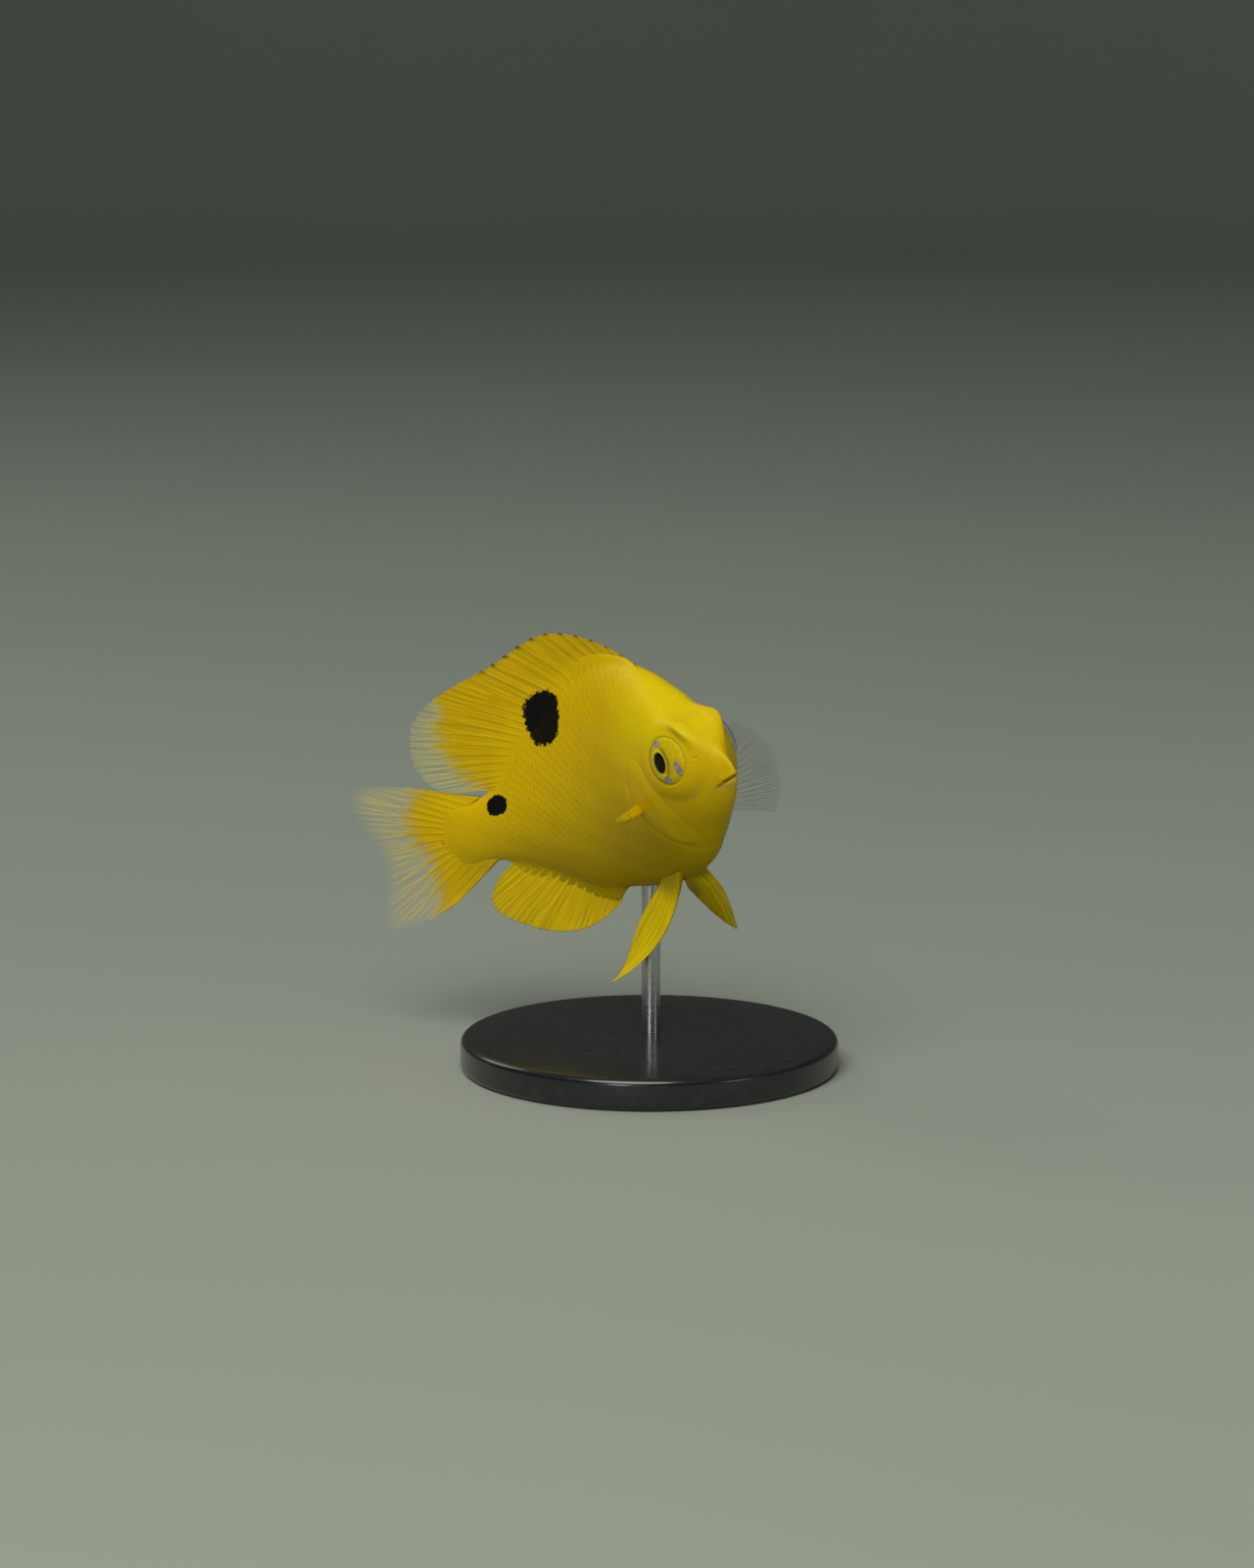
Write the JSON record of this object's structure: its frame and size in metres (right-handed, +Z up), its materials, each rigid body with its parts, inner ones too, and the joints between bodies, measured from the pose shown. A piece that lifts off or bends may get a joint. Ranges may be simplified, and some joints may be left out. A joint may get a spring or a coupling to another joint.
{
  "type": "juvenile threespot damselfish display model",
  "caption": "Life-size yellow juvenile damselfish with a bent tail and spread fins, held over a round base by one rod.",
  "frame": {"origin": "centre of the stand base's underside, on the surface that it stands on", "axes": "+Z up, the snout points towards -Y and a little up, the fish's left side towards +X"},
  "size_m": [0.0376, 0.0469, 0.0411],
  "materials": {
    "skin": "satin",
    "fin": "satin",
    "eye": "gloss",
    "base": "gloss",
    "rod": "satin"
  },
  "bodies": {
    "root": {"head": "skin", "lower_jaw": "skin", "gill_cover_right": "skin", "gill_cover_left": "skin", "trunk": "skin", "tail_stalk": "skin", "dorsal_fin_spiny": "fin", "dorsal_fin_soft": "fin", "anal_fin": "fin", "caudal_fin": "fin", "pelvic_fin_right": "fin", "pelvic_fin_left": "fin", "pectoral_fin_right": "fin", "pectoral_fin_left": "fin", "eye_right": "eye", "eye_left": "eye", "stand_base": "base", "stand_rod": "rod"}
  },
  "joints": []
}
